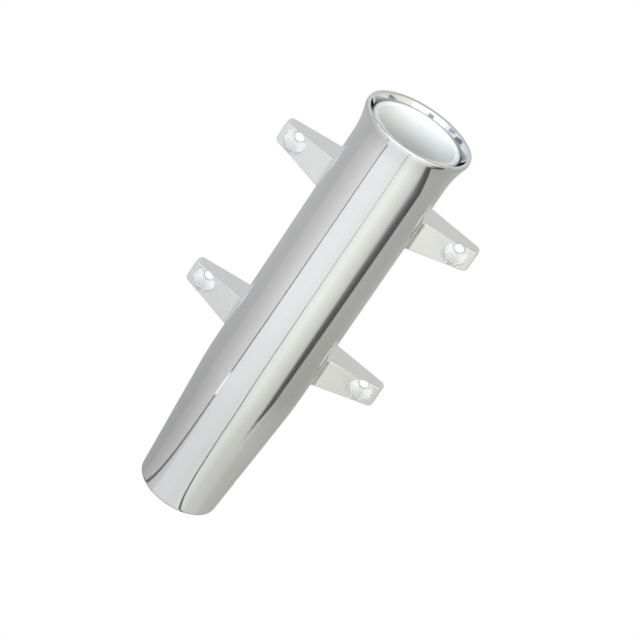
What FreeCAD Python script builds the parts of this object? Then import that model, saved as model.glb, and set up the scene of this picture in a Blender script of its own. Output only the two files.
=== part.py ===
import FreeCAD, Part
import math
import os
import Sketcher

# Side-mount rod holder for a boat.  A polished tube with a flared mouth and a tapered foot stands in four
# lugs that screw to an upright wall.  A soft liner drops in at the mouth and a cross pin carries the rod's butt.
# Frame: the wall is the plane Y = 0, the holder stands in front of it towards -Y, the tube runs along +Z,
# and the origin is the centre of the four screw holes on the wall.
# Every sub-part is drawn in the tube's own frame: the axis is Z and the wall lies towards +Y.  The tube, the
# liner and the pin have the foot at Z = 0, and a lug has its own mid height there.

doc = FreeCAD.newDocument("RodHolder")

driving_sizes = [
    ("tube_radius", 25.4, "outside radius of the straight tube"),
    ("tube_wall", 2.9, "wall of the tube"),
    ("tube_length", 232.7, "foot to rim"),
    ("foot_radius", 21.0, "outside radius at the foot"),
    ("foot_round", 2.1, "round of the foot's outer edge"),
    ("foot_inner_round", 0.5, "round of the foot's inner edge"),
    ("flare_height", 18.5, "height of the flared mouth"),
    ("flare_reach", 3.1, "how far the rim stands out from the tube"),
    ("rim_wall", 2.2, "thickness of the rim"),
    ("rim_gap", 1.5, "clearance between the rim and the wall behind it"),
    ("pin_radius", 3.175, "cross pin"),
    ("pin_height", 22.0, "cross pin's axis above the foot"),
    ("pin_setback", 0.6, "pin's ends inside the tube's surface"),
    ("pin_chamfer", 0.4, "chamfer on the pin's ends"),
    ("liner_wall", 1.55, "wall of the liner"),
    ("liner_gap", 0.3, "clearance between the liner and the tube"),
    ("liner_rest_gap", 0.3, "clearance between the liner's foot and the pin"),
    ("lip_recess", 2.2, "liner's lip below the rim"),
    ("lip_reach", 1.0, "how far the lip stands out from the liner"),
    ("lip_height", 2.6, "height of the lip"),
    ("lip_round", 1.0, "round of the lip's upper edges"),
    ("rim_to_upper_hole", 51.5, "rim down to the upper screw holes"),
    ("hole_spacing_z", 89.0, "upper to lower screw holes"),
    ("hole_spacing_x", 92.8, "left to right screw holes"),
    ("straight_below_lug", 9.8, "straight tube left between the lower lug and the taper"),
    ("hole_radius", 2.6, "screw clearance hole"),
    ("head_radius", 6.35, "counterbore for the screw's head"),
    ("head_angle", 82.0, "included angle of the screw's countersink"),
    ("seat_land", 2.0, "straight hole left under the countersink"),
    ("tip_reach", 55.2, "lug's tip from the tube's axis"),
    ("tip_thickness", 6.9, "lug's thickness at the tip"),
    ("root_thickness", 18.2, "lug's thickness at the tube's side"),
    ("tip_height", 11.6, "lug's height at the tip"),
    ("root_height", 16.9, "lug's height at the tube's side"),
    ("web_start", 8.0, "lug's inner end on the tube's back, from the axis"),
    ("web_slant", 6.0, "how much further out the inner end is on the wall"),
    ("tip_round", 2.2, "lug's corners at the tip"),
    ("front_round", 0.7, "lug's front edges"),
    ("back_round", 0.4, "lug's edges on the wall"),
    ("weld_round", 5.5, "blend of the lug into the tube"),
    ("weld_bite", 0.5, "how far inside the tube's surface the blend runs out"),
]

sizes = doc.addObject("Spreadsheet::Sheet", "Sizes")
for row, (alias, value, note) in enumerate(driving_sizes, start=1):
    sizes.set(f"A{row}", note)
    sizes.set(f"B{row}", str(value))
    sizes.setAlias(f"B{row}", alias)
doc.recompute()


def size(expression):
    """Work out an expression in the sheet's aliases as a number, for a sketch's first guess."""
    values = {alias: float(sizes.get(alias)) for alias, _, _ in driving_sizes}
    for alias in sorted(values, key=len, reverse=True):
        expression = expression.replace("Sizes." + alias, repr(values[alias]))
    return float(sizes.evalExpression(expression))


def origin_plane(body, role):
    for feature in body.Origin.OriginFeatures:
        if feature.Role == role:
            return feature
    raise ValueError(role)


def new_body(label):
    body = doc.addObject("PartDesign::Body", label)
    body.Label = label
    return body


def new_sketch(body, name, role):
    sketch = body.newObject("Sketcher::SketchObject", name)
    sketch.AttachmentSupport = [(origin_plane(body, role), "")]
    sketch.MapMode = "FlatFace"
    return sketch


def tie_point(sketch, geometry, end, across, up):
    """Hold one point of a sketch at two expressions, measured from the sketch's origin."""
    for kind, expression in (("DistanceX", across), ("DistanceY", up)):
        value = size(expression)
        index = sketch.addConstraint(Sketcher.Constraint(kind, -1, 1, geometry, end, value))
        sketch.setExpression(f"Constraints[{index}]", expression)


def closed_outline(sketch, corners, arcs=()):
    """Draw a closed outline through corners given as expression pairs.

    arcs holds the numbers of the sides that are arcs: each starts or ends level with its centre, so that it
    is tangent to the upright side beside it.
    """
    points = [FreeCAD.Vector(size(across), size(up), 0) for across, up in corners]
    for side, start in enumerate(points):
        end = points[(side + 1) % len(points)]
        if side in arcs:
            upright, far = (start, end) if start.y < end.y else (end, start)
            reach = far.x - upright.x
            rise = far.y - upright.y
            radius = (reach ** 2 + rise ** 2) / (2 * reach)
            centre = FreeCAD.Vector(upright.x + radius, upright.y, 0)
            half_angle = math.asin(rise / radius)
            circle = Part.Circle(centre, FreeCAD.Vector(0, 0, 1), radius)
            sketch.addGeometry(Part.ArcOfCircle(circle, math.pi - half_angle, math.pi), False)
        else:
            sketch.addGeometry(Part.LineSegment(start, end), False)
    # A line starts at its point 1.  An arc runs anticlockwise, so its point 2 is the upright side's end.
    starts = []
    ends = []
    for side, start in enumerate(points):
        end = points[(side + 1) % len(points)]
        rises = start.y < end.y
        flipped = side in arcs and rises
        starts.append((side, 2 if flipped else 1))
        ends.append((side, 1 if flipped else 2))
    for side in range(len(points)):
        follower = (side + 1) % len(points)
        sketch.addConstraint(Sketcher.Constraint("Coincident", *ends[side], *starts[follower]))
        tie_point(sketch, *starts[side], *corners[side])
    for side in arcs:
        sketch.addConstraint(Sketcher.Constraint("Horizontal", side, 3, side, 2))
    doc.recompute()


def circle_sketch(body, name, role, radius, across="0", up="0"):
    sketch = new_sketch(body, name, role)
    centre = FreeCAD.Vector(size(across), size(up), 0)
    sketch.addGeometry(Part.Circle(centre, FreeCAD.Vector(0, 0, 1), size(radius)), False)
    index = sketch.addConstraint(Sketcher.Constraint("Radius", 0, size(radius)))
    sketch.setExpression(f"Constraints[{index}]", radius)
    if across == "0" and up == "0":
        sketch.addConstraint(Sketcher.Constraint("Coincident", 0, 3, -1, 1))
    else:
        tie_point(sketch, 0, 3, across, up)
    doc.recompute()
    return sketch


def revolve(body, kind, name, sketch, axis):
    feature = body.newObject("PartDesign::" + kind, name)
    feature.Profile = sketch
    feature.ReferenceAxis = (sketch, [axis])
    feature.Angle = 360
    doc.recompute()
    return feature


def extrude(body, kind, name, sketch, length):
    """Pad or pocket a sketch by half of length on each side of its plane."""
    feature = body.newObject("PartDesign::" + kind, name)
    feature.Profile = sketch
    feature.Length = size(length)
    feature.setExpression("Length", length)
    feature.Midplane = True
    doc.recompute()
    return feature


def dress_edges(body, kind, name, base, amount, wanted):
    """Fillet or chamfer the edges of base for which wanted(edge) is true."""
    names = [f"Edge{i}" for i, edge in enumerate(base.Shape.Edges, start=1) if wanted(edge)]
    feature = body.newObject("PartDesign::" + kind, name)
    feature.Base = (base, names)
    dimension = "Radius" if kind == "Fillet" else "Size"
    setattr(feature, dimension, size(amount))
    feature.setExpression(dimension, amount)
    doc.recompute()
    return feature


def ring_at(radius, height):
    """A test for the circular edges of one radius that lie at one height about the tube's axis."""

    def wanted(edge):
        box = edge.BoundBox
        flat = box.ZLength < 0.001
        return flat and abs(box.ZMax - size(height)) < 0.001 and abs(box.XMax - size(radius)) < 0.001

    return wanted


def place(body, height, turned=False):
    """Stand a sub-part in front of the wall, turned half round about Y where asked."""
    body.setExpression("Placement.Base.y", "-" + stand_off)
    body.setExpression("Placement.Base.z", height)
    if turned:
        body.Placement.Rotation = FreeCAD.Rotation(FreeCAD.Vector(0, 1, 0), 180)
    doc.recompute()


stand_off = "(Sizes.tube_radius + Sizes.flare_reach + Sizes.rim_gap)"
foot_drop = "(Sizes.tube_length - Sizes.rim_to_upper_hole - Sizes.hole_spacing_z / 2)"
lower_lug_foot = "(Sizes.tube_length - Sizes.rim_to_upper_hole - Sizes.hole_spacing_z - Sizes.root_height / 2)"
taper_height = f"({lower_lug_foot} - Sizes.straight_below_lug)"
tube_bore = "(Sizes.tube_radius - Sizes.tube_wall)"
foot_bore = "(Sizes.foot_radius - Sizes.tube_wall)"
mouth_radius = "(Sizes.tube_radius + Sizes.flare_reach)"
flare_start = "(Sizes.tube_length - Sizes.flare_height)"
taper_slope = f"((Sizes.tube_radius - Sizes.foot_radius) / {taper_height})"
rim_round = "(Sizes.rim_wall * 0.45)"


def make_tube():
    """Revolved tube with a tapered foot, a flared mouth and cross holes for the pin."""
    body = new_body("tube")
    sketch = new_sketch(body, "TubeSection", "XZ_Plane")
    corners = [
        (foot_bore, "0"),
        ("Sizes.foot_radius", "0"),
        ("Sizes.tube_radius", taper_height),
        ("Sizes.tube_radius", flare_start),
        (mouth_radius, "Sizes.tube_length"),
        (mouth_radius + " - Sizes.rim_wall", "Sizes.tube_length"),
        (tube_bore, flare_start),
        (tube_bore, taper_height),
    ]
    closed_outline(sketch, corners, arcs=(3, 5))
    section = revolve(body, "Revolution", "TubeWall", sketch, "V_Axis")

    outer_rim = ring_at(mouth_radius, "Sizes.tube_length")
    inner_rim = ring_at(mouth_radius + " - Sizes.rim_wall", "Sizes.tube_length")
    rim = dress_edges(body, "Fillet", "RimRound", section, rim_round,
                      lambda edge: outer_rim(edge) or inner_rim(edge))
    foot = dress_edges(body, "Fillet", "FootRound", rim, "Sizes.foot_round", ring_at("Sizes.foot_radius", "0"))
    dress_edges(body, "Fillet", "FootInnerRound", foot, "Sizes.foot_inner_round", ring_at(foot_bore, "0"))

    holes = circle_sketch(body, "PinHoles", "YZ_Plane", "Sizes.pin_radius", "0", "Sizes.pin_height")
    extrude(body, "Pocket", "PinHole", holes, "3 * Sizes.tube_radius")
    place(body, "-" + foot_drop)
    return body


def make_pin():
    """Cross pin that carries the rod's butt, pressed through the tube near its foot."""
    body = new_body("gimbal_pin")
    sketch = circle_sketch(body, "PinSection", "YZ_Plane", "Sizes.pin_radius", "0", "Sizes.pin_height")
    half_length = f"(Sizes.foot_radius + {taper_slope} * Sizes.pin_height - Sizes.pin_setback)"
    rod = extrude(body, "Pad", "PinRod", sketch, "2 * " + half_length)
    dress_edges(body, "Chamfer", "PinEnds", rod, "Sizes.pin_chamfer", lambda edge: edge.BoundBox.XLength < 0.001)
    place(body, "-" + foot_drop)
    return body


def make_liner():
    """Soft sleeve that follows the tube's bore, with a lip at the mouth."""
    body = new_body("liner")
    sketch = new_sketch(body, "LinerSection", "XZ_Plane")
    outside = f"({tube_bore} - Sizes.liner_gap)"
    inside = f"({outside} - Sizes.liner_wall)"
    lip_radius = f"({outside} + Sizes.lip_reach)"
    liner_foot = "(Sizes.pin_height + Sizes.pin_radius + Sizes.liner_rest_gap)"
    liner_top = "(Sizes.tube_length - Sizes.lip_recess)"
    bore_at_foot = f"({foot_bore} + {taper_slope} * {liner_foot})"
    foot_outside = f"({bore_at_foot} - Sizes.liner_gap)"
    corners = [
        (foot_outside + " - Sizes.liner_wall", liner_foot),
        (foot_outside, liner_foot),
        (outside, taper_height),
        (outside, liner_top + " - Sizes.lip_height"),
        (lip_radius, liner_top + " - Sizes.lip_height"),
        (lip_radius, liner_top),
        (inside, liner_top),
        (inside, taper_height),
    ]
    closed_outline(sketch, corners)
    sleeve = revolve(body, "Revolution", "LinerWall", sketch, "V_Axis")
    outer_lip = ring_at(lip_radius, liner_top)
    inner_lip = ring_at(inside, liner_top)
    dress_edges(body, "Fillet", "LipRound", sleeve, "Sizes.lip_round",
                lambda edge: outer_lip(edge) or inner_lip(edge))
    place(body, "-" + foot_drop)
    return body


def make_lug(label, height, turned):
    """Cast lug: a wedge with a flat back, welded round its root to the tube and drilled for one screw."""
    body = new_body(label)

    # Front outline, a trapezium that is the same above and below the lug's mid height.
    outline = new_sketch(body, "LugOutline", "XZ_Plane")
    height_slope = "((Sizes.root_height - Sizes.tip_height) / (Sizes.tip_reach - Sizes.tube_radius))"
    web_height = f"(Sizes.tip_height + {height_slope} * (Sizes.tip_reach - Sizes.web_start))"
    half_tip = size("Sizes.tip_height") / 2
    half_web = size(web_height) / 2
    inner = size("Sizes.web_start")
    outer = size("Sizes.tip_reach")
    corners = [(inner, -half_web), (outer, -half_tip), (outer, half_tip), (inner, half_web)]
    points = [FreeCAD.Vector(across, up, 0) for across, up in corners]
    for side in range(4):
        outline.addGeometry(Part.LineSegment(points[side], points[(side + 1) % 4]), False)
    for side in range(4):
        outline.addConstraint(Sketcher.Constraint("Coincident", side, 2, (side + 1) % 4, 1))
    outline.addConstraint(Sketcher.Constraint("Symmetric", 1, 1, 1, 2, -1))
    outline.addConstraint(Sketcher.Constraint("Symmetric", 3, 1, 3, 2, -1))
    tie_point(outline, 1, 2, "Sizes.tip_reach", "Sizes.tip_height / 2")
    tie_point(outline, 3, 1, "Sizes.web_start", web_height + " / 2")
    outline.setExpression("AttachmentOffset.Base.z", "-" + stand_off)
    doc.recompute()
    block = body.newObject("PartDesign::Pad", "LugBlock")
    block.Profile = outline
    block.Length = size(stand_off)
    block.setExpression("Length", stand_off)
    doc.recompute()

    # Sloping front face: everything before it is cut away.
    depth_slope = "((Sizes.root_thickness - Sizes.tip_thickness) / (Sizes.tip_reach - Sizes.tube_radius))"
    beyond_tip = "(Sizes.tip_reach + Sizes.tip_round)"
    inside_tube = "(Sizes.tube_radius * 0.7)"

    def face_depth(across):
        return f"({stand_off} - Sizes.tip_thickness - {depth_slope} * (Sizes.tip_reach - {across}))"

    waste = new_sketch(body, "FrontWaste", "XY_Plane")
    closed_outline(waste, [
        (inside_tube, "0"),
        (beyond_tip, "0"),
        (beyond_tip, face_depth(beyond_tip)),
        (inside_tube, face_depth(inside_tube)),
    ])
    extrude(body, "Pocket", "FrontFace", waste, "4 * Sizes.root_height")

    # Slanted inner end behind the tube.
    within_tube = "(Sizes.tube_radius * 0.8)"
    end_waste = new_sketch(body, "EndWaste", "XY_Plane")
    closed_outline(end_waste, [
        ("0", within_tube),
        ("Sizes.web_start", within_tube),
        ("Sizes.web_start + Sizes.web_slant", stand_off),
        ("0", stand_off),
    ])
    ended = extrude(body, "Pocket", "InnerEnd", end_waste, "4 * Sizes.root_height")

    def tip_corner(edge):
        box = edge.BoundBox
        at_tip = box.XMin > size("Sizes.tip_reach") - 0.001
        return at_tip and box.ZLength < 0.001

    tip = dress_edges(body, "Fillet", "TipRound", ended, "Sizes.tip_round", tip_corner)

    def front_edge(edge):
        slope_gap = [abs(vertex.Y - size(face_depth(repr(vertex.X)))) for vertex in edge.Vertexes]
        return max(slope_gap) < 0.001 and edge.BoundBox.XMax > size(inside_tube) + 0.001

    front = dress_edges(body, "Fillet", "FrontEdges", tip, "Sizes.front_round", front_edge)

    def back_edge(edge):
        box = edge.BoundBox
        on_wall = box.YMin > size(stand_off) - 0.001
        return on_wall and box.XMax > size("Sizes.web_start + Sizes.web_slant") + 0.001

    dress_edges(body, "Fillet", "BackEdges", front, "Sizes.back_round", back_edge)

    # The blend is rolled between the lug and a core a little thinner than the tube, and the tube's own space
    # is cut out last, so that the blend ends on the tube at a small weld toe.
    core_radius = "(Sizes.tube_radius - Sizes.weld_bite)"
    core = circle_sketch(body, "CoreCircle", "XY_Plane", core_radius)
    core_pad = extrude(body, "Pad", "Core", core, "4 * Sizes.root_height")

    def root_edge(edge):
        middle = (edge.FirstParameter + edge.LastParameter) / 2
        points = [edge.valueAt(at) for at in (edge.FirstParameter, middle, edge.LastParameter)]
        on_core = all(abs(math.hypot(point.x, point.y) - size(core_radius)) < 0.001 for point in points)
        beside_lug = all(point.x > 0 and abs(point.z) < size("Sizes.root_height") for point in points)
        return on_core and beside_lug

    dress_edges(body, "Fillet", "WeldBlend", core_pad, "Sizes.weld_round", root_edge)
    space = circle_sketch(body, "TubeSpace", "XY_Plane", "Sizes.tube_radius")
    extrude(body, "Pocket", "TubeSeat", space, "6 * Sizes.root_height")

    # Screw hole along Y: a counterbore for the head, a countersink and a clearance hole.
    screw = new_sketch(body, "ScrewSection", "XY_Plane")
    hole_reach = "(Sizes.hole_spacing_x / 2)"
    cone_end = f"({stand_off} - Sizes.seat_land)"
    cone_depth = "((Sizes.head_radius - Sizes.hole_radius) / tan(Sizes.head_angle / 2))"
    closed_outline(screw, [
        (hole_reach, "0"),
        (hole_reach + " + Sizes.head_radius", "0"),
        (hole_reach + " + Sizes.head_radius", f"{cone_end} - {cone_depth}"),
        (hole_reach + " + Sizes.hole_radius", cone_end),
        (hole_reach + " + Sizes.hole_radius", stand_off + " + 1"),
        (hole_reach, stand_off + " + 1"),
    ])
    revolve(body, "Groove", "ScrewHole", screw, "Edge6")
    place(body, height, turned)
    return body


upper_level = "Sizes.hole_spacing_z / 2"
lower_level = "-Sizes.hole_spacing_z / 2"
lug_places = [
    ("upper_left_lug", upper_level, True),
    ("upper_right_lug", upper_level, False),
    ("lower_left_lug", lower_level, True),
    ("lower_right_lug", lower_level, False),
]

bodies = [make_tube(), make_pin(), make_liner()]
for lug_label, lug_height, lug_turned in lug_places:
    bodies.append(make_lug(lug_label, lug_height, lug_turned))
doc.recompute()

for item in doc.Objects:
    if "Invalid" in item.State or "Error" in item.State:
        raise RuntimeError(f"{item.Name} failed: {item.State}")
for body in bodies:
    if body.Shape.isNull() or not body.Shape.isValid():
        raise RuntimeError(f"{body.Label} has no valid shape")
    if len(body.Shape.Solids) != 1:
        raise RuntimeError(f"{body.Label} has {len(body.Shape.Solids)} solids")

os.makedirs("parts", exist_ok=True)
for body in bodies:
    body.Shape.exportStep(f"parts/{body.Label}.step")
    box = body.Shape.optimalBoundingBox()
    print(f"{body.Label}: {body.Shape.Volume:.0f} mm3, X {box.XMin:.2f} to {box.XMax:.2f}, "
          f"Y {box.YMin:.2f} to {box.YMax:.2f}, Z {box.ZMin:.2f} to {box.ZMax:.2f}")
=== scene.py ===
import math

import bmesh
import bpy
from mathutils import Matrix, Vector


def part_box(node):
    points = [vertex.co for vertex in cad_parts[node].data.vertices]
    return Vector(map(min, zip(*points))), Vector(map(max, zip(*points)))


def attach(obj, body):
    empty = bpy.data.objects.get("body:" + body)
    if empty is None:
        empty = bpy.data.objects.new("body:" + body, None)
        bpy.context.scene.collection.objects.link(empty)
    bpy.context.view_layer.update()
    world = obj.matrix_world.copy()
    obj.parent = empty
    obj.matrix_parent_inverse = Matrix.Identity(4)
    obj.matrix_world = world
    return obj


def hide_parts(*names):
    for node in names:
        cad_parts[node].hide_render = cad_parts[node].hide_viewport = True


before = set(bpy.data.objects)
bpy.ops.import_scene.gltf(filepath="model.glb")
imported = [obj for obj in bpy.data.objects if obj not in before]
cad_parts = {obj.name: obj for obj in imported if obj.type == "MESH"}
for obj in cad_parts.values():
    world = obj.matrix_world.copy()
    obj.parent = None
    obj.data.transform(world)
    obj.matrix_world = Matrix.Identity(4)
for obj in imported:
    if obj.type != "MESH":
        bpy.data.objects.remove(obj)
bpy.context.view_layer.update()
mm = 0.001
samePlace = 0.001 * mm  # points closer than this are one point
print("frame loaded:", ", ".join(sorted(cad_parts)))


def placeOf(node):
    low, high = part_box(node)
    return low, high, (low + high) / 2


tubeLow, tubeHigh, tubeMiddle = placeOf("tube")
axis = Vector((tubeMiddle.x, tubeMiddle.y, 0))  # the tube stands upright on this axis
footHeight = tubeLow.z
rimHeight = tubeHigh.z


def colour(text):  # sRGB hex to linear
    channels = [int(text[i:i + 2], 16) / 255 for i in (1, 3, 5)]
    linear = [c / 12.92 if c <= 0.04045 else ((c + 0.055) / 1.055) ** 2.4 for c in channels]
    return (*linear, 1.0)


def addNode(tree, kind, inputs=None, stops=None, **settings):
    # an input goes by its name, or by its number where several share a name
    node = tree.nodes.new(kind)
    for name, value in settings.items():
        setattr(node, name, value)
    for name, value in (inputs or {}).items():
        if isinstance(value, bpy.types.NodeSocket):
            tree.links.new(value, node.inputs[name])
        else:
            node.inputs[name].default_value = value
    if stops:
        elements = node.color_ramp.elements
        while len(elements) < len(stops):
            elements.new(0.5)
        for element, (position, shade) in zip(elements, stops):
            element.position = position
            element.color = shade if isinstance(shade, tuple) else (shade, shade, shade, 1)
    return node


def newMaterial(name):
    material = bpy.data.materials.new(name)
    material.use_nodes = True
    material.node_tree.nodes.clear()
    return material, material.node_tree


def polishedAluminium():
    # Extruded aluminium tube, buffed to a mirror: a bright, sharp reflection with faint rings left by
    # the mop and a slow waviness from hand polishing.
    ringSpacing = 0.6 * mm
    ringDepth = 0.0006 * mm
    roundTube = 20  # per metre: a ring hardly changes on its way round
    waveWidth = 16 * mm
    waveDepth = 0.006 * mm
    smearWidth = 9 * mm
    noiseLow = 0.35
    noiseHigh = 0.7
    glossiest = 0.05
    dullest = 0.11
    material, tree = newMaterial("polished_aluminium")
    place = addNode(tree, "ShaderNodeTexCoord").outputs["Object"]
    centred = addNode(tree, "ShaderNodeMapping", {"Vector": place, "Location": -axis})
    rings = addNode(tree, "ShaderNodeMapping", {
        "Vector": centred.outputs[0], "Scale": (roundTube, roundTube, 1 / ringSpacing)})
    ringNoise = addNode(tree, "ShaderNodeTexNoise", {
        "Vector": rings.outputs[0], "Scale": 1.0, "Detail": 3.0})
    waveNoise = addNode(tree, "ShaderNodeTexNoise", {
        "Vector": centred.outputs[0], "Scale": 1 / waveWidth, "Detail": 1.0})
    smearNoise = addNode(tree, "ShaderNodeTexNoise", {
        "Vector": centred.outputs[0], "Scale": 1 / smearWidth, "Detail": 4.0, "Roughness": 0.6})
    wave = addNode(tree, "ShaderNodeBump", {
        "Height": waveNoise.outputs["Fac"], "Strength": 1.0, "Distance": waveDepth})
    marks = addNode(tree, "ShaderNodeBump", {
        "Height": ringNoise.outputs["Fac"], "Strength": 1.0, "Distance": ringDepth,
        "Normal": wave.outputs["Normal"]})
    gloss = addNode(tree, "ShaderNodeMapRange", {
        "Value": smearNoise.outputs["Fac"], "From Min": noiseLow, "From Max": noiseHigh,
        "To Min": glossiest, "To Max": dullest})
    shader = addNode(tree, "ShaderNodeBsdfPrincipled", {
        "Base Color": colour("#F1F2F3"), "Metallic": 1.0, "Roughness": gloss.outputs["Result"],
        "Normal": marks.outputs["Normal"]})
    addNode(tree, "ShaderNodeOutputMaterial", {"Surface": shader.outputs[0]})
    return material


def satinCastAluminium():
    # Sand-cast aluminium lug, linished and lightly polished: a soft reflection, fine grain, and a slightly
    # paler turned seat in the screw hole.
    grainWidth = 0.5 * mm
    grainDepth = 0.004 * mm
    cloudWidth = 7 * mm
    cloudDepth = 0.02 * mm
    toolMark = 0.35 * mm
    toolMarkDepth = 0.0003 * mm
    seatMargin = 0.05 * mm
    noiseLow = 0.3
    noiseHigh = 0.7
    glossiest = 0.27
    dullest = 0.34
    seatRoughness = 0.38
    castShade = colour("#FBFCFC")
    seatShade = colour("#FEFFFF")
    material, tree = newMaterial("satin_cast_aluminium")
    place = addNode(tree, "ShaderNodeTexCoord").outputs["Object"]
    grain = addNode(tree, "ShaderNodeTexNoise", {
        "Vector": place, "Scale": 1 / grainWidth, "Detail": 4.0})
    cloud = addNode(tree, "ShaderNodeTexNoise", {
        "Vector": place, "Scale": 1 / cloudWidth, "Detail": 3.0})
    # distance from the nearest screw hole's axis: the four holes are mirror images about the origin
    folded = addNode(tree, "ShaderNodeVectorMath", {0: place}, operation="ABSOLUTE")
    flat = addNode(tree, "ShaderNodeVectorMath", {0: folded.outputs[0], 1: (1, 0, 1)},
                   operation="MULTIPLY")
    away = addNode(tree, "ShaderNodeVectorMath", {
        0: flat.outputs[0], 1: (lugSpec["holeAcross"], 0, lugSpec["holeUp"])}, operation="DISTANCE")
    seat = addNode(tree, "ShaderNodeMath", {
        0: away.outputs["Value"], 1: lugSpec["headRadius"] + seatMargin}, operation="LESS_THAN")
    turning = addNode(tree, "ShaderNodeMath", {0: away.outputs["Value"], 1: 2 * math.pi / toolMark},
                      operation="MULTIPLY")
    groove = addNode(tree, "ShaderNodeMath", {0: turning.outputs[0]}, operation="SINE")
    grainBump = addNode(tree, "ShaderNodeBump", {
        "Height": grain.outputs["Fac"], "Strength": 1.0, "Distance": grainDepth})
    cloudBump = addNode(tree, "ShaderNodeBump", {
        "Height": cloud.outputs["Fac"], "Strength": 1.0, "Distance": cloudDepth,
        "Normal": grainBump.outputs["Normal"]})
    turnedBump = addNode(tree, "ShaderNodeBump", {
        "Height": groove.outputs[0], "Strength": 1.0, "Distance": toolMarkDepth})
    normal = addNode(tree, "ShaderNodeMix", {
        "Factor": seat.outputs[0], 4: cloudBump.outputs["Normal"], 5: turnedBump.outputs["Normal"]},
        data_type="VECTOR")
    satin = addNode(tree, "ShaderNodeMapRange", {
        "Value": cloud.outputs["Fac"], "From Min": noiseLow, "From Max": noiseHigh,
        "To Min": glossiest, "To Max": dullest})
    gloss = addNode(tree, "ShaderNodeMix", {
        "Factor": seat.outputs[0], "A": satin.outputs["Result"], "B": seatRoughness}, data_type="FLOAT")
    tint = addNode(tree, "ShaderNodeMix", {
        "Factor": seat.outputs[0], 6: castShade, 7: seatShade}, data_type="RGBA")
    shader = addNode(tree, "ShaderNodeBsdfPrincipled", {
        "Base Color": tint.outputs[2], "Metallic": 1.0, "Roughness": gloss.outputs[0],
        "Normal": normal.outputs[1]})
    addNode(tree, "ShaderNodeOutputMaterial", {"Surface": shader.outputs[0]})
    return material


def groundStainlessSteel():
    # Centreless-ground stainless bar: darker than the aluminium, with fine lines round it.
    lineSpacing = 0.15 * mm
    lineDepth = 0.002 * mm
    roundBar = 60  # per metre: a line hardly changes on its way round
    glossiest = 0.22
    dullest = 0.34
    material, tree = newMaterial("ground_stainless_steel")
    place = addNode(tree, "ShaderNodeTexCoord").outputs["Object"]
    lines = addNode(tree, "ShaderNodeMapping", {
        "Vector": place, "Scale": (1 / lineSpacing, roundBar, roundBar)})
    lineNoise = addNode(tree, "ShaderNodeTexNoise", {
        "Vector": lines.outputs[0], "Scale": 1.0, "Detail": 3.0})
    marks = addNode(tree, "ShaderNodeBump", {
        "Height": lineNoise.outputs["Fac"], "Strength": 1.0, "Distance": lineDepth})
    gloss = addNode(tree, "ShaderNodeMapRange", {
        "Value": lineNoise.outputs["Fac"], "To Min": glossiest, "To Max": dullest})
    shader = addNode(tree, "ShaderNodeBsdfPrincipled", {
        "Base Color": colour("#C9C8C5"), "Metallic": 1.0, "Roughness": gloss.outputs["Result"],
        "Normal": marks.outputs["Normal"]})
    addNode(tree, "ShaderNodeOutputMaterial", {"Surface": shader.outputs[0]})
    return material


def mouldedVinyl():
    # Soft white PVC, injection moulded: a milky white with a dull sheen and a slight orange peel.
    peelWidth = 1.2 * mm
    peelDepth = 0.012 * mm
    cloudWidth = 12 * mm
    noiseLow = 0.3
    noiseHigh = 0.7
    glossiest = 0.36
    dullest = 0.46
    milkiness = 0.25
    lightDepth = 0.8 * mm
    lightSpread = (1.2, 1.1, 1.0)  # red goes a little deeper than blue
    material, tree = newMaterial("moulded_white_vinyl")
    place = addNode(tree, "ShaderNodeTexCoord").outputs["Object"]
    peel = addNode(tree, "ShaderNodeTexNoise", {"Vector": place, "Scale": 1 / peelWidth, "Detail": 2.0})
    cloud = addNode(tree, "ShaderNodeTexNoise", {
        "Vector": place, "Scale": 1 / cloudWidth, "Detail": 3.0})
    bump = addNode(tree, "ShaderNodeBump", {
        "Height": peel.outputs["Fac"], "Strength": 1.0, "Distance": peelDepth})
    tint = addNode(tree, "ShaderNodeMix", {
        "Factor": cloud.outputs["Fac"], 6: colour("#F3F6F5"), 7: colour("#FAFBFA")}, data_type="RGBA")
    gloss = addNode(tree, "ShaderNodeMapRange", {
        "Value": cloud.outputs["Fac"], "From Min": noiseLow, "From Max": noiseHigh,
        "To Min": glossiest, "To Max": dullest})
    shader = addNode(tree, "ShaderNodeBsdfPrincipled", {
        "Base Color": tint.outputs[2], "Roughness": gloss.outputs["Result"], "IOR": 1.53,
        "Subsurface Weight": milkiness, "Subsurface Radius": lightSpread, "Subsurface Scale": lightDepth,
        "Normal": bump.outputs["Normal"]})
    addNode(tree, "ShaderNodeOutputMaterial", {"Surface": shader.outputs[0]})
    return material


def pointAt(radius, height):
    return Vector((axis.x + radius, axis.y, height))


def drawOutline(shape, start, sides):
    # a pen walks round the section: straight to a point, or round an arc about a centre
    first = shape.verts.new(pointAt(*start))
    pen = first
    for side in sides:
        if "to" in side:
            grown = bmesh.ops.extrude_vert_indiv(shape, verts=[pen])
            pen = grown["verts"][0]
            pen.co = pointAt(*side["to"])
        else:
            turned = bmesh.ops.spin(shape, geom=[pen], cent=pointAt(*side["about"]), axis=(0, 1, 0),
                                    angle=side["angle"], steps=side["steps"], use_duplicate=False)
            pen = [part for part in turned["geom_last"] if isinstance(part, bmesh.types.BMVert)][0]
    shape.edges.new((pen, first))


def spinRound(shape, segments):
    outline = shape.verts[:] + shape.edges[:]
    bmesh.ops.spin(shape, geom=outline, cent=axis, axis=(0, 0, 1), angle=2 * math.pi, steps=segments,
                   use_merge=True)
    bmesh.ops.remove_doubles(shape, verts=shape.verts[:], dist=samePlace)
    bmesh.ops.recalc_face_normals(shape, faces=shape.faces[:])


def ringEdges(shape, radius, height):
    near = 10 * samePlace

    def onRing(corner):
        return abs(corner.co.z - height) < near and abs((corner.co.xy - axis.xy).length - radius) < near

    return [edge for edge in shape.edges if all(onRing(corner) for corner in edge.verts)]


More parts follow.
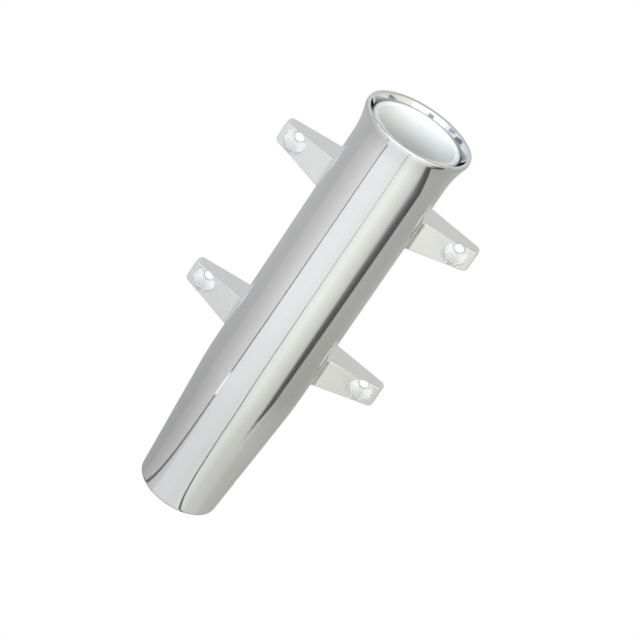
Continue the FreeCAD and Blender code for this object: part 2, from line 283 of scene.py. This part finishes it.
def roundRing(shape, radius, height, amount, steps):
    bmesh.ops.bevel(shape, geom=ringEdges(shape, radius, height), offset=amount, offset_type="OFFSET",
                    segments=steps, profile=0.5, affect="EDGES", material=-1)


def finishPiece(shape, name, material, creaseAngle):
    faceAreaWeight = 80
    mesh = bpy.data.meshes.new(name)
    shape.to_mesh(mesh)
    shape.free()
    mesh.shade_smooth()
    mesh.set_sharp_from_angle(angle=math.radians(creaseAngle))
    mesh.materials.append(material)
    piece = bpy.data.objects.new(name, mesh)
    bpy.context.scene.collection.objects.link(piece)
    weighted = piece.modifiers.new("weightedNormals", "WEIGHTED_NORMAL")
    weighted.keep_sharp = True
    weighted.weight = faceAreaWeight
    return piece


def addPiece(piece, body, node):
    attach(piece, body)
    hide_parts(node)
    print(f"{piece.name}: {len(piece.data.polygons)} faces, rides on {body}")


tubeSpec = {
    "radius": 25.4 * mm,
    "wall": 2.9 * mm,
    "footRadius": 21.0 * mm,
    "taperHeight": 73.95 * mm,
    "taperBlend": 7.0 * mm,  # half the length over which the taper eases into the straight
    "flareHeight": 18.5 * mm,
    "innerMouthRadius": 26.3 * mm,
    "rimRound": 0.99 * mm,
    "rollRadius": 28.12 * mm,  # the widest part, a little below the rim
    "rollDrop": 1.6 * mm,
    "rollRound": 4.0 * mm,
    "rollLean": math.radians(18),  # the steepest part of the flare, where it turns into the roll
    "rollTopRound": 0.6 * mm,
    "footRound": 2.1 * mm,
    "footInnerRound": 0.5 * mm,
    "segments": 256,
    "blendSteps": 8,
    "outerFlareSteps": 16,
    "rollSteps": 14,
    "innerFlareSteps": 12,
    "rollTopSteps": 5,
    "rimSteps": 6,
    "footSteps": 8,
    "footInnerSteps": 4,
    "creaseAngle": 35,
}

pinSpec = {
    "radius": 3.175 * mm,
    "height": 22.0 * mm,
    "holeClearance": 0.02 * mm,
    "chamfer": 0.4 * mm,
    "segments": 96,
    "chamferSteps": 2,
    "creaseAngle": 30,
}


def makeTube(material):
    spec = tubeSpec
    bore = spec["radius"] - spec["wall"]
    footBore = spec["footRadius"] - spec["wall"]
    taperTop = footHeight + spec["taperHeight"]
    flareFoot = rimHeight - spec["flareHeight"]
    mouth = spec["innerMouthRadius"]
    lean = math.atan((spec["radius"] - spec["footRadius"]) / spec["taperHeight"])
    blendRadius = spec["taperBlend"] / math.tan(lean / 2)
    # outside: a concave flare that turns into a convex roll, meeting it at the steepest lean
    roll, steepest = spec["rollRound"], spec["rollLean"]
    rollCentre = (spec["rollRadius"] - roll, rimHeight - spec["rollDrop"])
    rollEdge = math.asin(spec["rollDrop"] / roll)
    rollTop = rollCentre[0] + roll * math.cos(rollEdge)
    outerArc = (rollCentre[0] + roll * math.cos(steepest) - spec["radius"]) / (1 - math.cos(steepest))
    outerFoot = rollCentre[1] - (roll + outerArc) * math.sin(steepest)
    # inside: one arc from the bore to the mouth
    innerReach = mouth - bore
    innerArc = (innerReach ** 2 + spec["flareHeight"] ** 2) / (2 * innerReach)
    innerAngle = math.asin(spec["flareHeight"] / innerArc)

    def onTaper(radius):
        return radius - spec["taperBlend"] * math.sin(lean), taperTop - spec["taperBlend"] * math.cos(lean)

    shape = bmesh.new()
    straightFoot = taperTop + spec["taperBlend"]
    drawOutline(shape, (footBore, footHeight), [
        {"to": (spec["footRadius"], footHeight)},
        {"to": onTaper(spec["radius"])},
        {"about": (spec["radius"] - blendRadius, straightFoot), "angle": -lean, "steps": spec["blendSteps"]},
        {"to": (spec["radius"], outerFoot)},
        {"about": (spec["radius"] + outerArc, outerFoot), "angle": steepest,
         "steps": spec["outerFlareSteps"]},
        {"about": rollCentre, "angle": -steepest - rollEdge, "steps": spec["rollSteps"]},
        {"to": (mouth, rimHeight)},
        {"about": (bore + innerArc, flareFoot), "angle": -innerAngle, "steps": spec["innerFlareSteps"]},
        {"to": (bore, straightFoot)},
        {"about": (bore - blendRadius, straightFoot), "angle": lean, "steps": spec["blendSteps"]},
    ])
    spinRound(shape, spec["segments"])
    outerCorner = math.pi / 2 + rollEdge
    innerCorner = math.pi / 2 + innerAngle
    rollTopCut = spec["rollTopRound"] / math.tan(outerCorner / 2)
    rimCut = spec["rimRound"] / math.tan(innerCorner / 2)
    roundRing(shape, rollTop, rimHeight, rollTopCut, spec["rollTopSteps"])
    roundRing(shape, mouth, rimHeight, rimCut, spec["rimSteps"])
    roundRing(shape, spec["footRadius"], footHeight, spec["footRound"], spec["footSteps"])
    roundRing(shape, footBore, footHeight, spec["footInnerRound"], spec["footInnerSteps"])
    piece = finishPiece(shape, "tube_shell", material, spec["creaseAngle"])
    cutPinHoles(piece)
    return piece


def cutPinHoles(piece):
    holeRadius = pinSpec["radius"] + pinSpec["holeClearance"]
    drillLength = 4 * tubeSpec["radius"]  # well past both walls
    cutter = bmesh.new()
    bmesh.ops.create_cone(cutter, cap_ends=True, segments=pinSpec["segments"], radius1=holeRadius,
                          radius2=holeRadius, depth=drillLength)
    # half a step of turn keeps the drill's edges off the tube's own edges
    halfStep = Matrix.Rotation(math.pi / pinSpec["segments"], 3, "Z")
    acrossTube = Matrix.Rotation(math.pi / 2, 3, "Y")
    bmesh.ops.rotate(cutter, verts=cutter.verts, matrix=acrossTube @ halfStep)
    bmesh.ops.translate(cutter, verts=cutter.verts, vec=pointAt(0, footHeight + pinSpec["height"]))
    mesh = bpy.data.meshes.new("pinDrill")
    cutter.to_mesh(mesh)
    cutter.free()
    drill = bpy.data.objects.new("pinDrill", mesh)
    bpy.context.scene.collection.objects.link(drill)
    cut = piece.modifiers.new("pinHoles", "BOOLEAN")
    cut.operation = "DIFFERENCE"
    cut.solver = "EXACT"
    cut.object = drill
    # only the holes are made part of the mesh: the shading modifier stays live
    weighted = piece.modifiers["weightedNormals"]
    weighted.show_viewport = False
    bpy.context.view_layer.update()
    graph = bpy.context.evaluated_depsgraph_get()
    drilled = bpy.data.meshes.new_from_object(piece.evaluated_get(graph))
    weighted.show_viewport = True
    piece.modifiers.remove(cut)
    piece.data = drilled
    bpy.data.objects.remove(drill)
    drilled.shade_smooth()
    drilled.set_sharp_from_angle(angle=math.radians(tubeSpec["creaseAngle"]))


def makePin(material):
    spec = pinSpec
    low, high, middle = placeOf("gimbal_pin")
    shape = bmesh.new()
    bmesh.ops.create_cone(shape, cap_ends=True, segments=spec["segments"], radius1=spec["radius"],
                          radius2=spec["radius"], depth=high.x - low.x)
    ends = [edge for edge in shape.edges if abs(edge.verts[0].co.z - edge.verts[1].co.z) < samePlace]
    bmesh.ops.bevel(shape, geom=ends, offset=spec["chamfer"], offset_type="OFFSET",
                    segments=spec["chamferSteps"], profile=0.5, affect="EDGES", material=-1)
    bmesh.ops.rotate(shape, verts=shape.verts, matrix=Matrix.Rotation(math.pi / 2, 3, "Y"))
    bmesh.ops.translate(shape, verts=shape.verts, vec=middle)
    return finishPiece(shape, "cross_pin", material, spec["creaseAngle"])


linerSpec = {
    "wall": 1.55 * mm,
    "gap": 0.3 * mm,
    "lipHeight": 2.6 * mm,
    "lipRound": 1.0 * mm,
    "underLipRound": 0.25 * mm,
    "footRound": 0.3 * mm,
    "segments": 224,
    "blendSteps": 6,
    "lipSteps": 6,
    "smallSteps": 3,
    "creaseAngle": 35,
}


def makeLiner(material):
    spec = linerSpec
    low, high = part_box("liner")
    outside = tubeSpec["radius"] - tubeSpec["wall"] - spec["gap"]
    inside = outside - spec["wall"]
    lipRadius = (high.x - low.x) / 2
    slope = (tubeSpec["radius"] - tubeSpec["footRadius"]) / tubeSpec["taperHeight"]
    taperTop = footHeight + tubeSpec["taperHeight"]
    footOutside = outside - slope * (taperTop - low.z)
    footInside = footOutside - spec["wall"]
    lean = math.atan(slope)
    blend = tubeSpec["taperBlend"]
    blendRadius = blend / math.tan(lean / 2)
    underLip = high.z - spec["lipHeight"]

    def onTaper(radius):
        return radius - blend * math.sin(lean), taperTop - blend * math.cos(lean)

    shape = bmesh.new()
    drawOutline(shape, (footInside, low.z), [
        {"to": (footOutside, low.z)},
        {"to": onTaper(outside)},
        {"about": (outside - blendRadius, taperTop + blend), "angle": -lean, "steps": spec["blendSteps"]},
        {"to": (outside, underLip)},
        {"to": (lipRadius, underLip)},
        {"to": (lipRadius, high.z)},
        {"to": (inside, high.z)},
        {"to": (inside, taperTop + blend)},
        {"about": (inside - blendRadius, taperTop + blend), "angle": lean, "steps": spec["blendSteps"]},
    ])
    spinRound(shape, spec["segments"])
    roundRing(shape, lipRadius, high.z, spec["lipRound"], spec["lipSteps"])
    roundRing(shape, inside, high.z, spec["lipRound"], spec["lipSteps"])
    roundRing(shape, lipRadius, underLip, spec["underLipRound"], spec["smallSteps"])
    roundRing(shape, footOutside, low.z, spec["footRound"], spec["smallSteps"])
    roundRing(shape, footInside, low.z, spec["footRound"], spec["smallSteps"])
    return finishPiece(shape, "liner_sleeve", material, spec["creaseAngle"])


lugSpec = {
    "holeAcross": 46.4 * mm,
    "holeUp": 44.5 * mm,
    "headRadius": 6.35 * mm,
    "flatWithin": math.radians(0.3),  # faces closer to one plane than this become one face
    "creaseAngle": 28,
}


def makeLug(node, material):
    shape = bmesh.new()
    shape.from_mesh(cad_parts[node].data)
    bmesh.ops.remove_doubles(shape, verts=shape.verts[:], dist=2 * samePlace)
    bmesh.ops.dissolve_limit(shape, angle_limit=lugSpec["flatWithin"], verts=shape.verts[:],
                             edges=shape.edges[:], use_dissolve_boundaries=False)
    return finishPiece(shape, node + "_casting", material, lugSpec["creaseAngle"])


tubeMetal = polishedAluminium()
lugMetal = satinCastAluminium()
pinMetal = groundStainlessSteel()
linerVinyl = mouldedVinyl()

addPiece(makeTube(tubeMetal), "holder", "tube")
addPiece(makePin(pinMetal), "holder", "gimbal_pin")
addPiece(makeLiner(linerVinyl), "liner", "liner")
for level in ("upper", "lower"):
    for hand in ("left", "right"):
        lugName = f"{level}_{hand}_lug"
        addPiece(makeLug(lugName, lugMetal), "holder", lugName)
print("pieces built")


cameraSpec = {
    "location": Vector((41.14, -1278.58, 629.04)) * mm,
    "aim": Vector((11.59, -29.02, -15.33)) * mm,
    "roll": math.radians(34.383),
    "lens": 165.57,
    "sensorWidth": 36,
    "clipStart": 0.01,
}


def makeCamera():
    spec = cameraSpec
    lens = bpy.data.cameras.new("camera")
    lens.lens = spec["lens"]
    lens.sensor_width = spec["sensorWidth"]
    lens.clip_start = spec["clipStart"]
    camera = bpy.data.objects.new("camera", lens)
    bpy.context.scene.collection.objects.link(camera)
    turned = (spec["aim"] - spec["location"]).to_track_quat("-Z", "Y").to_matrix().to_4x4()
    rolled = Matrix.Rotation(spec["roll"], 4, "Z")
    camera.matrix_world = Matrix.Translation(spec["location"]) @ turned @ rolled
    bpy.context.scene.camera = camera


makeCamera()
print("camera placed")


def ringPlace(azimuth):
    # where a compass angle falls on a radial gradient: 0 is in front and positive is to the right
    return ((azimuth + 90) % 360) / 360


def glowing(name, shade, strength=1.0):
    material, tree = newMaterial(name)
    light = addNode(tree, "ShaderNodeEmission", {"Color": shade, "Strength": strength})
    addNode(tree, "ShaderNodeOutputMaterial", {"Surface": light.outputs[0]})
    return material


tableSpec = {
    # the papers on the table light the object and show in its metal, but the camera doesn't see them
    "radius": 4,
    "underFoot": 15 * mm,
    # painted light and shade on the white paper sheets, by compass angle: brightest in front, darker at the
    # sides and behind
    "paper": [
        (-90, "#B7B7B5"), (-70, "#C1C1BF"), (-50, "#D1D1CF"), (-40, "#D8D8D6"), (-37, "#E8E9EA"),
        (-12, "#E9EAEB"), (8, "#E5E6E4"), (27, "#EEEFE9"), (47, "#D6D7D0"), (57, "#CBCBC6"),
        (80, "#AAAAA5"), (105, "#A6A5A0"), (125, "#A8A7A2"), (150, "#B0B0AC"), (180, "#B4B4B2"),
        (220, "#B5B5B5"), (250, "#B1B1B1"),
    ],
    # share of the light left by the dark cloth: its edge is crisp close by and blurred far off
    "nearCloth": [(61.5, 1.0), (65.5, 0.27), (72, 0.19), (120, 0.19), (124, 1.0)],
    "farCloth": [(55, 1.0), (59, 0.88), (63, 0.66), (67, 0.46), (71, 0.31), (76, 0.22), (82, 0.19),
                 (120, 0.19), (124, 1.0)],
    "clothTint": (1.0, 0.95, 1.04),
    "crispWithin": 230 * mm,
    "blurredBeyond": 600 * mm,
    # a white sheet covers the cloth behind this line and left of this strip
    "sheetEdgeFacing": (0.03, 1, 0),
    "sheetEdge": -44 * mm,
    "sheetSideStart": 100 * mm,
    "sheetSideEnd": 130 * mm,
    # painted shadow under the foot's edge, then slowly brighter: distance in mm and share of the light
    "paintedShadowFall": [(22, 0.68), (42, 0.9), (90, 0.9), (330, 1.1)],
    "paintedShadowReach": 330 * mm,
    "brightest": 1.1,
    # painted light: the table glows brighter close to the foot on the right
    "paintedLightSide": [(45, 0.0), (62, 0.5), (76, 1.0), (108, 1.0), (140, 0.4), (180, 0.0)],
    "paintedLightLift": 0.38,
    "paintedLightWithin": 110 * mm,
    "paintedLightGone": 200 * mm,
}


def clothShade(share):
    return (*(share * part for part in tableSpec["clothTint"]), 1) if share < 1 else 1.0


def tableShade():
    spec = tableSpec
    material, tree = newMaterial("table_paper")
    place = addNode(tree, "ShaderNodeTexCoord").outputs["Object"]
    centred = addNode(tree, "ShaderNodeMapping", {"Vector": place, "Location": -axis})
    around = addNode(tree, "ShaderNodeTexGradient", {"Vector": centred.outputs[0]}, gradient_type="RADIAL")
    # the paper's painted light and shade, by compass angle
    paper = addNode(tree, "ShaderNodeValToRGB", {"Fac": around.outputs["Fac"]},
                    stops=[(ringPlace(azimuth), colour(shade)) for azimuth, shade in spec["paper"]])
    flat = addNode(tree, "ShaderNodeVectorMath", {0: centred.outputs[0], 1: (1, 1, 0)},
                   operation="MULTIPLY")
    away = addNode(tree, "ShaderNodeVectorMath", {0: flat.outputs[0]}, operation="LENGTH")

    def clothRamp(cloth):
        stops = [(ringPlace(azimuth), clothShade(share)) for azimuth, share in cloth]
        return addNode(tree, "ShaderNodeValToRGB", {"Fac": around.outputs["Fac"]}, stops=stops)

    nearCloth = clothRamp(spec["nearCloth"])
    farCloth = clothRamp(spec["farCloth"])
    farOff = addNode(tree, "ShaderNodeMapRange", {
        "Value": away.outputs["Value"], "From Min": spec["crispWithin"], "From Max": spec["blurredBeyond"]})
    cloth = addNode(tree, "ShaderNodeMix", {
        "Factor": farOff.outputs["Result"], 6: nearCloth.outputs["Color"], 7: farCloth.outputs["Color"]},
        data_type="RGBA")
    split = addNode(tree, "ShaderNodeSeparateXYZ", {"Vector": centred.outputs[0]})
    acrossEdge = addNode(tree, "ShaderNodeVectorMath", {0: centred.outputs[0], 1: spec["sheetEdgeFacing"]},
                         operation="DOT_PRODUCT")
    inFront = addNode(tree, "ShaderNodeMath", {0: acrossEdge.outputs["Value"], 1: spec["sheetEdge"]},
                      operation="LESS_THAN")
    beyond = addNode(tree, "ShaderNodeMapRange", {
        "Value": split.outputs["X"], "From Min": spec["sheetSideStart"], "From Max": spec["sheetSideEnd"]})
    uncovered = addNode(tree, "ShaderNodeMath", {0: inFront.outputs[0], 1: beyond.outputs["Result"]},
                        operation="MULTIPLY")
    covered = addNode(tree, "ShaderNodeMix", {
        "Factor": uncovered.outputs[0], 6: colour("#FFFFFF"), 7: cloth.outputs[2]}, data_type="RGBA")
    shade = addNode(tree, "ShaderNodeMix", {
        "Factor": 1.0, 6: paper.outputs["Color"], 7: covered.outputs[2]}, data_type="RGBA",
        blend_type="MULTIPLY")
    # the object's painted contact shadow on the glowing table, fading out with distance
    reach = spec["paintedShadowReach"]
    brightest = spec["brightest"]
    distance = addNode(tree, "ShaderNodeMath", {0: away.outputs["Value"], 1: reach}, operation="DIVIDE")
    shadow = addNode(tree, "ShaderNodeValToRGB", {"Fac": distance.outputs[0]},
                     stops=[(spot * mm / reach, share / brightest) for spot, share in spec["paintedShadowFall"]])
    # painted light: the glow is raised close to the foot on the right
    paintedLightRing = addNode(tree, "ShaderNodeValToRGB", {"Fac": around.outputs["Fac"]},
                       stops=[(ringPlace(azimuth), share) for azimuth, share in spec["paintedLightSide"]])
    closeBy = addNode(tree, "ShaderNodeMapRange", {
        "Value": away.outputs["Value"], "From Min": spec["paintedLightWithin"], "From Max": spec["paintedLightGone"],
        "To Min": spec["paintedLightLift"], "To Max": 0})
    paintedLight = addNode(tree, "ShaderNodeMath", {
        0: paintedLightRing.outputs["Color"], 1: closeBy.outputs["Result"], 2: 1.0}, operation="MULTIPLY_ADD")
    level = addNode(tree, "ShaderNodeMath", {0: shadow.outputs["Color"], 1: paintedLight.outputs[0]},
                    operation="MULTIPLY")
    strength = addNode(tree, "ShaderNodeMath", {0: level.outputs[0], 1: brightest}, operation="MULTIPLY")
    light = addNode(tree, "ShaderNodeEmission", {
        "Color": shade.outputs[2], "Strength": strength.outputs[0]})
    addNode(tree, "ShaderNodeOutputMaterial", {"Surface": light.outputs[0]})
    return material


def stageObject(shape, name, material, seenByCamera):
    mesh = bpy.data.meshes.new(name)
    shape.to_mesh(mesh)
    shape.free()
    mesh.materials.append(material)
    thing = bpy.data.objects.new(name, mesh)
    bpy.context.scene.collection.objects.link(thing)
    thing.visible_camera = seenByCamera
    thing.visible_glossy = not seenByCamera
    thing.visible_diffuse = not seenByCamera
    thing.visible_shadow = False


def disc(radius, height):
    shape = bmesh.new()
    bmesh.ops.create_circle(shape, cap_ends=True, radius=radius, segments=96)
    bmesh.ops.translate(shape, verts=shape.verts, vec=pointAt(0, height))
    return shape


def onTable(azimuth, distance, height):
    turn = math.radians(azimuth)
    return Vector((axis.x + distance * math.sin(turn), axis.y - distance * math.cos(turn), height))


def panel(corners):
    shape = bmesh.new()
    shape.faces.new([shape.verts.new(corner) for corner in corners])
    return shape


def strip(seam):
    # a tapered ribbon along a seam, given by a point and a direction measured from the tube's foot
    along = Vector(seam["direction"]).normalized()
    side = Vector((-along.y, along.x, 0)).normalized() / 2
    origin = pointAt(0, footHeight) + seam["start"]
    near = origin + along * seam["near"]
    far = origin + along * seam["far"]
    return panel([near - side * seam["widthNear"], far - side * seam["widthFar"],
                  far + side * seam["widthFar"], near + side * seam["widthNear"]])


floorSpec = {
    # the white ground that the camera sees
    "radius": 30,
    "underFoot": 30 * mm,
    "shade": "#FFFFFF",
}
floorShade = glowing("floor_white", colour(floorSpec["shade"]))
seamShadow = glowing("seam_shadow", colour("#6C6D6F"))
whiteEdge = glowing("paper_edge", colour("#FFFFFF"), 1.2)
stageObject(disc(floorSpec["radius"], footHeight - floorSpec["underFoot"]), "floor", floorShade, True)
stageObject(disc(tableSpec["radius"], footHeight - tableSpec["underFoot"]), "table", tableShade(), False)

# the seams between the sheets, and the bright edge of one sheet
leftSeam = {"start": Vector((4.4, 36.2, -13)) * mm, "direction": (-0.574, -0.819, 0)}
frontSeamClose = {"start": Vector((33, -120, 2.5)) * mm, "direction": (0.214, -0.975, 0.056)}
frontSeam = {"start": Vector((33, -120, 2.5)) * mm, "direction": (0.16, -0.986, 0.056)}
frontSeamBeyond = {"start": Vector((46, -200, 7)) * mm, "direction": (0.212, -0.977, 0.056)}
seams = [
    {**leftSeam, "near": 0, "far": 171 * mm, "widthNear": 3.5 * mm, "widthFar": 7 * mm,
     "shade": seamShadow},
    {**leftSeam, "near": 171 * mm, "far": 228 * mm, "widthNear": 8 * mm, "widthFar": 8 * mm,
     "shade": whiteEdge},
    {**leftSeam, "near": 228 * mm, "far": 900 * mm, "widthNear": 9 * mm, "widthFar": 27 * mm,
     "shade": seamShadow},
    {**frontSeamClose, "near": -110 * mm, "far": 0, "widthNear": 2 * mm, "widthFar": 4 * mm,
     "shade": seamShadow},
    {**frontSeam, "near": 0, "far": 82 * mm, "widthNear": 4 * mm, "widthFar": 5.5 * mm,
     "shade": seamShadow},
    {**frontSeamBeyond, "near": 0, "far": 800 * mm, "widthNear": 5.5 * mm, "widthFar": 9 * mm,
     "shade": seamShadow},
]
for count, seam in enumerate(seams):
    stageObject(strip(seam), f"seam{count}", seam["shade"], False)


cards = [
    {"name": "front_sheet", "azimuth": 2, "width": 84, "bottom": 1, "top": 30, "distance": 1.6,
     "finish": "lit_sheet", "shade": "#FDFEFF", "strength": 1.3},
    {"name": "flag_left", "azimuth": -83, "width": 22, "bottom": 3, "top": 12, "distance": 1.6,
     "finish": "dark_card", "shade": "#777A7E", "strength": 1.0},
    {"name": "flag_blue", "azimuth": -58, "width": 16, "bottom": 13, "top": 19, "distance": 1.1,
     "finish": "blue_card", "shade": "#A3A8B3", "strength": 1.0},
    {"name": "flag_right", "azimuth": 88, "width": 30, "bottom": -1, "top": 8, "distance": 1.6,
     "finish": "grey_card", "shade": "#8C8C88", "strength": 1.0},
    {"name": "camera_body", "azimuth": -2, "width": 13, "bottom": 15, "top": 19.5, "distance": 1.0,
     "finish": "camera_grey", "shade": "#A2A4A6", "strength": 1.0},
]


def upright(card):
    # a card facing the object, given in degrees of compass angle and of height above the rim
    corners = []
    for side, edge in ((-1, "bottom"), (1, "bottom"), (1, "top"), (-1, "top")):
        azimuth = card["azimuth"] + side * card["width"] / 2
        rise = card["distance"] * math.tan(math.radians(card[edge]))
        corners.append(onTable(azimuth, card["distance"], rimHeight + rise))
    return panel(corners)


for card in cards:
    cardFinish = glowing(card["finish"], colour(card["shade"]), card["strength"])
    stageObject(upright(card), card["name"], cardFinish, False)
print("table, seams and cards placed")


roomSpec = {
    "strength": 1.1,
    # shade by height, from the horizon to straight up
    "heights": [(0.0, "#FFFFFF"), (0.42, "#F4F4F4"), (1.0, "#C8C8C8")],
    # cooler on the left and warmer on the right, greyer behind, by compass angle
    "sides": [(-88, "#DFE6F0"), (-45, "#EAF5FF"), (0, "#FAFCFB"), (45, "#FDFBF0"), (100, "#D8D7CC"),
              (150, "#CACBC5"), (180, "#CECECC"), (210, "#D0D1D4"), (269, "#D8DDE4")],
    "seenShade": "#FFFFFF",  # what the camera sees behind the object
}


def makeWorld():
    spec = roomSpec
    world = bpy.data.worlds.new("studio")
    bpy.context.scene.world = world
    world.use_nodes = True
    tree = world.node_tree
    tree.nodes.clear()
    direction = addNode(tree, "ShaderNodeTexCoord").outputs["Generated"]
    split = addNode(tree, "ShaderNodeSeparateXYZ", {"Vector": direction})
    height = addNode(tree, "ShaderNodeValToRGB", {"Fac": split.outputs["Z"]},
                     stops=[(level, colour(shade)) for level, shade in spec["heights"]])
    around = addNode(tree, "ShaderNodeTexGradient", {"Vector": direction}, gradient_type="RADIAL")
    walls = addNode(tree, "ShaderNodeValToRGB", {"Fac": around.outputs["Fac"]},
                    stops=[(ringPlace(azimuth), colour(shade)) for azimuth, shade in spec["sides"]])
    shade = addNode(tree, "ShaderNodeMix", {
        "Factor": 1.0, 6: height.outputs["Color"], 7: walls.outputs["Color"]}, data_type="RGBA",
        blend_type="MULTIPLY")
    room = addNode(tree, "ShaderNodeBackground", {"Color": shade.outputs[2], "Strength": spec["strength"]})
    seen = addNode(tree, "ShaderNodeBackground", {"Color": colour(spec["seenShade"]), "Strength": 1.0})
    ray = addNode(tree, "ShaderNodeLightPath")
    both = addNode(tree, "ShaderNodeMixShader", {
        0: ray.outputs["Is Camera Ray"], 1: room.outputs[0], 2: seen.outputs[0]})
    addNode(tree, "ShaderNodeOutputWorld", {"Surface": both.outputs[0]})


softboxSpec = {
    "azimuth": 2,
    "elevation": 15,
    "distance": 1.8,
    "width": 3.1,
    "height": 0.8,
    "watts": 44,
    "tint": "#F8FDFF",
}


def makeSoftbox():
    spec = softboxSpec
    lamp = bpy.data.lights.new("front_softbox", "AREA")
    lamp.shape = "RECTANGLE"
    lamp.size = spec["width"]
    lamp.size_y = spec["height"]
    lamp.energy = spec["watts"]
    lamp.color = colour(spec["tint"])[:3]
    box = bpy.data.objects.new("front_softbox", lamp)
    bpy.context.scene.collection.objects.link(box)
    elevation = math.radians(spec["elevation"])
    reach = spec["distance"] * math.cos(elevation)
    rise = spec["distance"] * math.sin(elevation)
    box.location = onTable(spec["azimuth"], reach, rise)
    box.rotation_euler = (axis - box.location).to_track_quat("-Z", "Y").to_euler()
    box.visible_glossy = False


makeWorld()
makeSoftbox()
bpy.context.scene.view_settings.view_transform = "Standard"
print("studio lit")
